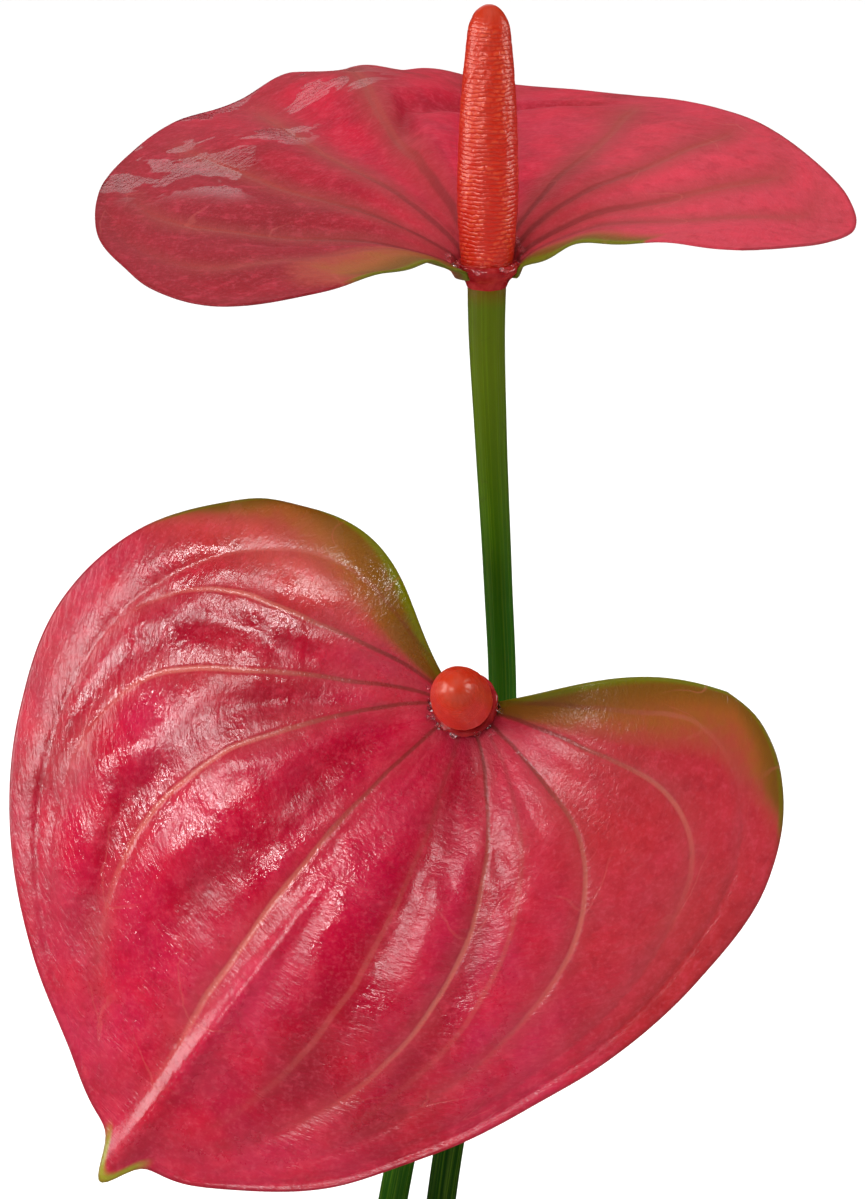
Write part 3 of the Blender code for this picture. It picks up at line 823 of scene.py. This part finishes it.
def perlite_grain():
    """One grain of perlite, about 1 mm across before it is sized."""
    bpy.ops.mesh.primitive_ico_sphere_add(subdivisions=2, radius=0.5 * MM)
    grain = bpy.context.object
    for vertex in grain.data.vertices:
        vertex.co *= 1 + 0.35 * noise.noise(vertex.co * 2600)
    grain.data.shade_smooth()
    return grain


def make_collar(name, matrix, stalk_radius, finish, seed):
    """The fleshy seat that joins a flower's stalk, bract and spike, with a lumpy lip about the spike."""
    neck = stalk_radius / MM
    profile = [
        (0.6 * neck, -2.6), (1.01 * neck, -2.5), (1.06 * neck, -1.9), (3.5, -1.1), (4.3, -0.5), (4.85, 0.2),
        (5.0, 0.8), (4.85, 1.3), (4.5, 1.55), (4.1, 1.5), (COLLAR_INNER, 1.1), (0.97 * COLLAR_INNER, 0.4),
        (0.5 * COLLAR_INNER, 0.1),
    ]
    collar = turned([(radius * MM, level * MM) for radius, level in profile], 32)
    for vertex in collar.data.vertices:
        lift = min(1.0, max(0.0, (vertex.co.z + 1.1 * MM) / (2 * MM)))
        lump = noise.noise(vertex.co * 420 + Vector((seed, 0, 0))) + 0.5 * noise.noise(vertex.co * 1100)
        outward = Vector((vertex.co.x, vertex.co.y, 0))
        if outward.length > 0.9 * COLLAR_INNER * MM:
            vertex.co += outward.normalized() * lump * lift * 0.16 * MM
            vertex.co.z += 0.2 * lump * lift * MM
    collar.matrix_world = matrix
    place_piece(collar, name, "bract", [finish])


def make_drops(name, matrix, spots, finish):
    """Small drops of water: flattened balls at places in a flower's own frame, in millimetres."""
    drops = []
    for x, y, z, size in spots:
        bpy.ops.mesh.primitive_uv_sphere_add(segments=20, ring_count=12, radius=size * MM)
        drop = bpy.context.object
        drop.scale = (1, 1, 0.8)
        bpy.ops.object.transform_apply(scale=True)
        drop.matrix_world = matrix @ Matrix.Translation(Vector((x, y, z)) * MM)
        bpy.ops.object.transform_apply(location=True, rotation=True, scale=True)
        drops.append(drop)
    joined = join_all(drops)
    joined.data.shade_smooth()
    place_piece(joined, name, "bract", [finish])


def main_veins(blade, heading, out, radius, wander, fine, spread, fade):
    """A blade's main veins: how strong their lines are at a point, and how many mm off the nearest is."""
    nearest = None
    lines = None
    width = radius * spread + fine
    for start, steady, turn, late, strength in blade["veins"]:
        drift = bend = out * steady
        if turn:
            late_turn = out**late * turn
            drift = drift + late_turn
            bend = bend + late_turn * late
        aside = (heading - (1 - drift) * start) * radius * DEGREE + wander
        slope = bend * (start * DEGREE)
        gap = abs(aside) / (slope * slope + 1) ** 0.5
        line = (gap / width).falling(0.35, 1.0) * strength
        gap = gap + (1 - strength) * 2
        nearest = gap if nearest is None else nearest.lower_of(gap)
        lines = line if lines is None else lines.higher_of(line)
    return lines * out.falling(*fade), nearest


def read_blade(skin, blade, sway, fine, spread, fade=(0.78, 0.97)):
    """What a blade's UV map and mesh say at a point, with its main veins, which sway by some millimetres."""
    u, out = skin.uv()
    heading = (u - 0.5) * 360
    radius = skin.attribute("radius_mm")
    wander = (skin.grain(90) - 0.5) * sway
    return heading, out, radius, *main_veins(blade, heading, out, radius, wander, fine, spread, fade)


def side_veins(skin, radius, every):
    """The thin veins that leave the main ones: slanting lines that fade towards the middle of a panel."""
    panel = skin.attribute("panel")
    drift = skin.grain(55) * 2.2 + skin.grain(260) * 0.35
    saw = (radius / every + panel * 0.9 + drift).zigzag(1.0)
    picked = skin.grain(38, 1).rising(0.42, 0.6)
    return saw.falling(0.015, 0.05) * panel.falling(0.3, 0.85) * picked * radius.rising(12, 26)


def bract_finish(name, flower):
    """The upper face of a bract: wet-looking crimson skin, olive towards the notch, with sunken veins. Its
    colour holds painted shade in its valleys and over the upper bract's left half, and a painted sheen over
    the side that catches the light.
    """
    skin = Finish(
        name,
        Specular_IOR_Level=flower["gloss"],
        Subsurface_Weight=0.08,
        Subsurface_Radius=(1.0, 0.25, 0.2),
        Subsurface_Scale=0.8 * MM,
    )
    blade = flower["blade"]
    line_width, spread, strength = blade["vein_lines"]
    heading, out, radius, lines, vein = read_blade(skin, blade, 1.4, line_width, spread, flower["fade"])
    facts = ("rim_mm", "edge_mm", "green", "panel", "valley")
    rim, edge, green, panel, valley = (skin.attribute(fact) for fact in facts)
    twigs = side_veins(skin, radius, 7.0)

    broad = skin.grain(26, 2, 0.6, 0.6)
    patches = skin.grain(110, 3, 0.6)
    mottle = skin.grain(420, 3, 0.7)
    fine = skin.grain(1500, 2, 0.6)
    deep, light, flush = flower["skin"]
    dull_tint_and_shade, dull_shade_share, *dull_shade_range = flower["dull_tint_and_shade"]
    pale, sheen_share, *sheen_range = flower["pale"]
    shadow, darkness, shadow_reach = flower["vein_shadow"]
    blush = abs(heading - 5).falling(25, 60) * out.falling(0.35, 0.75)
    between = panel.rising(0.25, 0.8) * patches.rising(0.36, 0.6)
    uneven_tint = (skin.grain(160, 3, 0.6) - 0.5) * 0.3 + (mottle - 0.5) * 0.5
    tint = green + uneven_tint * green.rising(0.02, 0.3)
    body = skin.paint(
        skin.mix(broad.rising(0.36, 0.66), deep, light),
        (patches.rising(0.38, 0.75) * 0.5, flush),
        (blush * 0.6, srgb(172, 8, 50)),
        (between * flower["vivid"], srgb(184, 6, 44)),
        # painted shade over the upper bract's left half, away from the light; a duller tint over the lower's
        # right half
        (heading.rising(*dull_shade_range) * out.rising(0.15, 0.4) * dull_shade_share, dull_tint_and_shade),
        # painted sheen: a lighter colour over the side of the bract that catches the light
        (heading.falling(*sheen_range) * out.rising(0.2, 0.5) * sheen_share, pale),
        # painted shade: darker crimson laid along the valleys' folds
        (valley * 0.55, srgb(124, 0, 18)),
        # pale fine speckle: the skin's own grain, and a painted sheen as well, a pinkish haze over the whole
        # face
        (fine.rising(0.45, 0.78) * 0.18, srgb(210, 90, 106)),
        (mottle.rising(0.5, 0.72) * 0.26, srgb(204, 60, 80)),
        (mottle.falling(0.32, 0.5) * 0.25, srgb(124, 2, 18)),
        (vein.falling(0.4, shadow_reach) * out.falling(0.8, 1.0) * darkness, shadow),
        (tint.rising(0.02, 0.6) * 0.85, srgb(152, 62, 44)),
        (tint.rising(0.45, 0.9) * 0.75, srgb(136, 80, 20)),
        (edge.falling(0.8, 5.0) * green.rising(0.3, 0.8) * 0.7, srgb(86, 62, 0)),
        (edge.falling(0.3, 1.1) * green.rising(0.2, 0.5) * 0.8, srgb(92, 98, 0)),
        (out.rising(0.972, 0.99) * abs(heading).falling(1.5, 3.5) * 0.95, srgb(132, 130, 20)),
        (lines * strength, skin.mix(radius.rising(10, 40), *flower["vein"])),
        (twigs * 0.2, srgb(188, 92, 82)),
        (rim.falling(0.1, 0.9) * 0.35, srgb(100, 14, 18)),
    )

    wrinkles = skin.grain(1.0, 3, 0.65, 0.4, skin.vector(heading * 0.35, radius * 1.4))
    pebbles = skin.grain(850, 2, 0.6)
    centre, width, reach, depth = flower["wet"]
    film = abs(heading - centre).falling(0.6 * width, width) * abs(out - reach).falling(0.6 * depth, depth)
    film = film * skin.grain(75, 3, 0.6, 0.5).rising(*flower["edges"])
    groove = vein.falling(0.0, 0.9) * out.falling(*flower["fade"])
    height = wrinkles * 0.12 + pebbles * (film * 0.04 + 0.05) + mottle * 0.05 - groove * 0.1 - twigs * 0.02
    rough = flower["dry"] - film * (flower["dry"] - 0.09) + fine * 0.06
    return skin.dress(body, rough, height)


def bract_back_finish(name, blade):
    """The underside of a bract: paler and duller, greener at its base, with raised veins."""
    skin = Finish(name, Coat_Weight=0.15, Coat_Roughness=0.3, Subsurface_Weight=0.1, Subsurface_Scale=MM)
    *_, radius, lines, vein = read_blade(skin, blade, 1.2, 0.4, 0.006)
    twigs = side_veins(skin, radius, 7.0)
    fine = skin.grain(1100, 3, 0.6)
    body = skin.paint(
        skin.mix(skin.grain(30, 3, 0.6).rising(0.35, 0.7), srgb(152, 40, 52), srgb(176, 66, 72)),
        (radius.falling(8, 34) * 0.6, srgb(140, 96, 50)),
        (skin.attribute("green").rising(0.1, 0.8) * 0.8, srgb(118, 104, 36)),
        (lines * 0.7, srgb(168, 112, 78)),
        (twigs * 0.4, srgb(176, 104, 84)),
    )
    height = vein.falling(0.0, 0.9) * 0.3 + twigs * 0.06 + fine * 0.05
    return skin.dress(body, fine * 0.2 + 0.4, height)


def leaf_finish(name, blade):
    """The upper face of a leaf: deep glossy green with paler veins."""
    skin = Finish(name, Specular_IOR_Level=0.5, Subsurface_Weight=0.05, Subsurface_Scale=MM)
    *_, radius, lines, vein = read_blade(skin, blade, 1.0, 0.7, -0.004)
    twigs = side_veins(skin, radius, 6.0)
    broad = skin.grain(35, 3, 0.6)
    fine = skin.grain(900, 3, 0.6)
    body = skin.paint(
        skin.mix(broad.rising(0.35, 0.7), srgb(18, 58, 14), srgb(34, 86, 20)),
        (vein.falling(0.4, 4.0) * 0.4, srgb(48, 98, 28)),
        (twigs * 0.45, srgb(66, 112, 38)),
        (lines * 0.75, srgb(96, 132, 54)),
        (skin.attribute("rim_mm").falling(0.2, 1.0) * 0.5, srgb(116, 126, 58)),
        (fine.rising(0.55, 0.8) * 0.3, srgb(46, 96, 28)),
    )
    height = fine * 0.05 - vein.falling(0.0, 1.0) * 0.25 - twigs * 0.06 + skin.grain(300) * 0.1
    return skin.dress(body, broad * 0.2 + 0.26, height)


def leaf_back_finish(name, blade):
    """The underside of a leaf: matt, paler, with raised veins."""
    skin = Finish(name, Subsurface_Weight=0.05, Subsurface_Scale=MM)
    *_, lines, vein = read_blade(skin, blade, 1.0, 0.9, -0.004)
    fine = skin.grain(900, 3, 0.6)
    body = skin.mix(skin.grain(35, 3, 0.6).rising(0.35, 0.7), srgb(80, 112, 52), srgb(102, 134, 66))
    body = skin.mix(lines * 0.7, body, srgb(150, 164, 94))
    height = vein.falling(0.0, 1.0) * 0.4 + fine * 0.06
    return skin.dress(body, fine * 0.15 + 0.5, height)


def spadix_finish(name):
    """The spike: orange-red florets with paler crowns, partly painted highlight, and painted shade in the
    grooves.
    """
    skin = Finish(
        name,
        Specular_IOR_Level=1.0,
        Specular_Tint=(1.0, 0.74, 0.64),
        Subsurface_Weight=0.1,
        Subsurface_Scale=MM,
    )
    share = skin.attribute("share")
    broad = skin.grain(260, 3, 0.6)
    fine = skin.grain(2600, 2, 0.6)
    rows = share * (SPADIX_LENGTH / FLORET_ROW) + skin.grain(420) * 1.6
    seats = skin.uv()[0] * FLORETS_ROUND + rows.floor() * 0.62 + skin.grain(500) * 0.9
    ridge, button = (places.zigzag(0.5) * 2 for places in (rows, seats))
    floret = ridge.rising(0.0, 0.7) * (button.rising(0.0, 0.5) * 0.55 + 0.45) * share.falling(0.9, 0.985)
    body = skin.paint(
        skin.mix(share.rising(0.2, 1.0), srgb(186, 20, 0), srgb(182, 32, 2)),
        # painted shade: the grooves between the florets darker
        (floret.falling(0.1, 0.6) * 0.16, srgb(150, 14, 0)),
        # paler floret crowns: partly their own colour, partly a painted highlight
        (floret.rising(0.5, 0.95) * broad.rising(0.4, 0.7) * 0.5, srgb(222, 92, 50)),
        (share.falling(0.0, 0.07) * 0.6, srgb(150, 22, 12)),
        (share.rising(0.9, 0.99) * 0.6, srgb(170, 50, 22)),
    )
    height = floret * 0.055 + fine * 0.03 + broad * 0.1
    return skin.dress(body, fine * 0.12 + 0.3, height)


def stalk_finish(name, bright, middle, deep):
    """A fresh stalk: striped along its length, brighter towards its flower or leaf."""
    skin = Finish(name, Specular_IOR_Level=0.12, Subsurface_Weight=0.05, Subsurface_Scale=MM)
    u, along = skin.uv()
    turn = u * (2 * math.pi)
    streaks = skin.vector(turn.cosine() * 3.2, turn.sine() * 3.2, along * 3)
    lines = skin.grain(3.0, 3, 0.6, where=streaks)
    spots = skin.grain(500, 3, 0.7)
    body = skin.paint(
        skin.mix(along.rising(0.35, 0.8), deep, middle),
        (along.rising(0.8, 1.0), bright),
        (lines.rising(0.45, 0.75) * 0.4, srgb(98, 128, 6)),
        (spots.rising(0.62, 0.72) * 0.35, srgb(60, 70, 20)),
        (along.falling(0.08, 0.18) * 0.7, srgb(96, 84, 40)),
        (along.rising(0.985, 1.0) * 0.6, srgb(120, 52, 10)),
    )
    height = lines * 0.12 + spots * 0.03
    return skin.dress(body, lines * 0.15 + 0.32, height)


def collar_finish(name):
    """The fleshy seat: wet crimson tissue."""
    skin = Finish(name, Specular_IOR_Level=0.5, Subsurface_Weight=0.15, Subsurface_Scale=1.2 * MM)
    broad = skin.grain(380, 3, 0.6)
    fine = skin.grain(1600, 2, 0.6)
    body = skin.mix(broad.rising(0.35, 0.7), srgb(132, 14, 20), srgb(158, 38, 38))
    height = fine * 0.05 + broad * 0.15
    return skin.dress(body, fine * 0.2 + 0.1, height)


def drop_finish(name):
    """Clear water."""
    skin = Finish(name, Transmission_Weight=1.0, IOR=1.33, Base_Color=(1, 1, 1))
    return skin.wear(Roughness=skin.grain(900, 1) * 0.04 + 0.06)


def soil_finish(name):
    """Moist peaty soil."""
    skin = Finish(name)
    broad = skin.grain(180, 4, 0.6)
    fine = skin.grain(1400, 3, 0.7)
    body = skin.mix(broad.rising(0.3, 0.7), srgb(38, 27, 19), srgb(66, 47, 33))
    body = skin.mix(fine.rising(0.55, 0.8) * 0.6, body, srgb(98, 74, 52))
    height = fine * 0.5 + broad * 0.5
    return skin.dress(body, fine * 0.2 + 0.78, height)


def chip_finish(name):
    """Flakes of pine bark."""
    skin = Finish(name)
    fine = skin.grain(1200, 3, 0.7)
    body = skin.mix(skin.grain(120, 3, 0.6).rising(0.35, 0.65), srgb(74, 44, 26), srgb(128, 84, 52))
    body = skin.mix(fine.rising(0.5, 0.8) * 0.5, body, srgb(50, 30, 18))
    return skin.dress(body, fine * 0.2 + 0.7, fine * 0.2)


def perlite_finish(name):
    """Grains of white perlite, soiled in places."""
    skin = Finish(name)
    fine = skin.grain(1500, 3, 0.7)
    body = skin.mix(fine.rising(0.45, 0.8) * 0.7, srgb(226, 222, 212), srgb(150, 132, 112))
    return skin.dress(body, fine * 0.2 + 0.7, fine * 0.2)


def pot_finish(name):
    """A satin stoneware glaze, warm white, with fine iron specks and a bare foot."""
    skin = Finish(name, Coat_Weight=0.25, Coat_Roughness=0.15)
    z = skin.node("SeparateXYZ", {0: skin.where}, 2)
    broad = skin.grain(22, 3, 0.6)
    cells = skin.node("TexVoronoi", {"Vector": skin.where, "Scale": 420})
    picked = skin.grain(300, 1).rising(0.56, 0.62)
    level = z + (skin.grain(60) - 0.5) * (1.6 * MM)
    bare = level.falling(4.2 * MM, 4.8 * MM)
    glaze_end = level.rising(4.2 * MM, 5.2 * MM) * level.falling(5.2 * MM, 7.5 * MM)
    clay = skin.mix(skin.grain(900, 3, 0.7), srgb(172, 146, 118), srgb(196, 172, 146))
    body = skin.paint(
        skin.mix(broad.rising(0.3, 0.7), srgb(222, 217, 206), srgb(234, 231, 223)),
        (cells.falling(0.1, 0.22) * picked * 0.75, srgb(120, 96, 74)),
        (bare, clay),
        (glaze_end * 0.35, srgb(190, 176, 150)),
    )
    rings = (z * 2600 + broad * 6).sine()
    height = rings * 0.02 + skin.grain(260) * 0.06 + bare * skin.grain(1800) * 0.12
    rough = skin.grain(90) * 0.12 + 0.26 + bare * 0.45
    return skin.dress(body, rough, height)


def add_light(kind, name, place, target, power, **settings):
    """A lamp at a place, turned to its target, with its size or spread as settings."""
    bpy.ops.object.light_add(type=kind, location=place)
    lamp = bpy.context.object
    lamp.name = name
    lamp.data.energy = power
    for setting, value in settings.items():
        setattr(lamp.data, setting, value)
    lamp.rotation_euler = (Vector(target) - lamp.location).to_track_quat("-Z", "Y").to_euler()
    lamp.select_set(False)
    return lamp


def add_panel(name, direction, width, height, power, target):
    """A soft rectangular light in a direction from what it lights."""
    place = Vector(target) + Vector(direction).normalized() * PANEL_DISTANCE
    add_light("AREA", name, place, target, power, shape="RECTANGLE", size=width, size_y=height)


def set_stage():
    """The camera at the photograph's angle, the pale floor and the soft studio light."""
    bpy.ops.object.camera_add(location=CAMERA_PLACE, rotation=(CAMERA_TILT, 0, 0))
    camera = bpy.context.object
    camera.data.lens = 70
    camera.data.sensor_width = 36
    camera.data.clip_start = 0.01
    camera.data.dof.use_dof = False
    bpy.context.scene.camera = camera
    camera.select_set(False)

    bpy.ops.mesh.primitive_plane_add(size=14, location=(0, 3, 0))
    floor = bpy.context.object
    bpy.ops.object.transform_apply(location=True)
    floor.name = "studio_floor"
    paper = Finish("studio floor", Roughness=0.9)
    tone = paper.mix(paper.grain(3), (0.93, 0.93, 0.93), (0.95, 0.95, 0.95))
    floor.data.materials.append(paper.wear(Base_Color=tone))
    floor.visible_glossy = False
    floor.select_set(False)

    world = bpy.data.worlds.new("studio")
    world.use_nodes = True
    world.node_tree.nodes["Background"].inputs["Color"].default_value = (1, 1, 1, 1)
    world.node_tree.nodes["Background"].inputs["Strength"].default_value = 1.0
    world.cycles_visibility.diffuse = False
    world.cycles_visibility.glossy = False
    bpy.context.scene.world = world
    bpy.context.scene.view_settings.view_transform = "Standard"
    bpy.context.scene.view_settings.look = "None"

    for number, (way, strength) in enumerate((((-0.1, -0.45, 0.9), 2.2), ((0.2, 0.25, 1.0), 1.75))):
        fill = add_light("SUN", f"fill_light_{number}", way, (0, 0, 0), strength, angle=75 * DEGREE)
        fill.visible_glossy = False
    heart = (0.012, -0.03, 0.32)
    for number, azimuth in enumerate((-134, -150)):
        way = (math.sin(azimuth * DEGREE), math.cos(azimuth * DEGREE), 0.36)
        add_panel(f"window_pane_{number}", way, 0.08, 0.2, 3.7, heart)
    add_panel("side_window", (-1.0, 0.04, 0.14), 0.6, 0.85, 8.5, (0.012, -0.02, 0.35))
    add_panel("room_light", (0.95, 0.1, 0.22), 0.5, 0.6, 5.5, heart)
    add_panel("back_light", (-0.1, 0.9, 0.5), 0.9, 0.5, 1.6, (-0.03, 0, 0.38))


def water_spots(blade, seed):
    """Where a flower's drops lie and how big they are: in its bract's throat and on its seat's lip."""
    first, last = blade_span(blade)
    headings = np.array([rng.uniform(first + 6, last - 6) for _ in range(THROAT_DROPS)])
    shares = np.array([rng.uniform(SEAT_SHARE, SEAT_SHARE + 0.03) for _ in range(THROAT_DROPS)])
    beads = blade_points(blade, headings, shares, 1.0, seed)[0] / MM
    spots = [(x, y, z + 0.15, rng.uniform(0.25, 0.6)) for x, y, z in beads]
    for _ in range(LIP_DROPS):
        turn = rng.uniform(0, 2 * math.pi)
        lip = rng.uniform(*LIP_RADII)
        level = 1.7 - 1.1 * (lip - LIP_RADII[0])
        spots.append((lip * math.cos(turn), lip * math.sin(turn), level, rng.uniform(0.3, 0.65)))
    return spots


def make_flower(number, name, flower, stalk_skin, spadix_skin, collar_skin, water):
    """One flower: its bract, spike, stalk, seat and water drops. Returns the foot of its stalk."""
    blade = flower["blade"]
    seat = Vector(flower["seat"]) * MM
    spike = Vector(flower["spike"]).normalized()
    matrix = blade_frame(seat, flower["tip"], spike)
    skins = [bract_finish(f"{name} bract face", flower), bract_back_finish(f"{name} bract underside", blade)]
    piece, seed = f"{name}_bract", 3.0 + 10 * number
    make_blade(f"{piece}_blade", piece, "bract", blade, matrix, skins, BRACT_THICKNESS, BRACT_GRID, seed=seed)
    lifted = Matrix.Translation(spike * GAP) @ matrix
    make_spadix(f"{name}_spadix_florets", f"{name}_spadix", lifted, spadix_skin, flower["girth"])

    route = [Vector(place) * MM for place in flower["route"]]
    neck, end = (seat - spike * drop for drop in (FLOWER_NECK, BRACT_THICKNESS + GAP))
    foot = Vector(flower["foot"]) * MM
    foot_radius = FOOT_SWELL * FLOWER_STALK_RADIUS
    radii = [(0, foot_radius), (0.5, FLOWER_STALK_RADIUS), (0.93, FLOWER_STALK_RADIUS), (1, foot_radius)]
    path = [*stalk_start(*foot), *route, neck, end]
    make_stalk(f"{name}_stalk_skin", f"{name}_stalk", path, radii, stalk_skin, rings=150)
    make_collar(f"{name}_collar", matrix, foot_radius, collar_skin, seed=2.0 * number)
    make_drops(f"{name}_drops", matrix, water_spots(blade, seed), water)
    return foot


def make_leaf(number, name, place, skins, stalk_skin):
    """One leaf with its stalk. Returns the foot of the stalk."""
    heading, reach, height, droop, roll, size = place
    turn, fall = heading * DEGREE, droop * DEGREE
    out = Vector((math.cos(turn), math.sin(turn), 0))
    up = Vector((0, 0, 1))
    tip = out * math.cos(fall) - up * math.sin(fall)
    normal = Matrix.Rotation(roll * DEGREE, 3, tip) @ (out * math.sin(fall) + up * math.cos(fall))
    seat = (out * reach + up * height) * MM
    matrix = blade_frame(seat, tip, normal)
    seed = 40.0 + 7 * number
    make_blade(f"{name}_blade", name, "leaf", LEAF, matrix, skins, LEAF_THICKNESS, LEAF_GRID, size, seed)

    foot = out.xy * LEAF_STALK_RING
    bow_reach = LEAF_STALK_RING + 0.35 * (reach * MM - LEAF_STALK_RING)
    bow_height = SOIL_CROWN + 0.55 * (height * MM - SOIL_CROWN)
    neck, end = (seat - normal * drop for drop in (LEAF_NECK, LEAF_THICKNESS + GAP))
    foot_radius = FOOT_SWELL * LEAF_STALK_RADIUS
    radii = [(0, foot_radius), (0.5, LEAF_STALK_RADIUS), (0.9, LEAF_STALK_RADIUS), (0.96, foot_radius)]
    radii.append((1, LEAF_STALK_RADIUS))
    path = [*stalk_start(*foot), out * bow_reach + up * bow_height, neck, end]
    make_stalk(f"{name}_petiole", f"{name}_stalk", path, radii, stalk_skin, rings=70, sides=20)
    return foot


set_stage()

flower_skins = (
    stalk_finish("flower stalk", srgb(80, 94, 0), srgb(34, 82, 0), srgb(4, 34, 0)),
    spadix_finish("coral spike"),
    collar_finish("fleshy seat"),
    drop_finish("water drops"),
)
leaf_skins = [leaf_finish("leaf face", LEAF), leaf_back_finish("leaf underside", LEAF)]
petiole_skin = stalk_finish("leaf stalk", srgb(92, 120, 50), srgb(74, 108, 38), srgb(66, 92, 34))

feet = []
for number, (name, flower) in enumerate(FLOWERS.items()):
    feet.append(make_flower(number, name, flower, *flower_skins))
for number, (name, place) in enumerate(LEAVES.items()):
    feet.append(make_leaf(number, name, place, leaf_skins, petiole_skin))

make_soil(soil_finish("peaty soil"))
scatter(bark_chip(), 150, (3.0, 7.5), 0.1 * MM, feet, "soil_bark", chip_finish("pine bark"))
scatter(perlite_grain(), 120, (1.2, 3.0), 0.15 * MM, feet, "soil_perlite", perlite_finish("perlite"))
make_pot(pot_finish("stoneware glaze"))
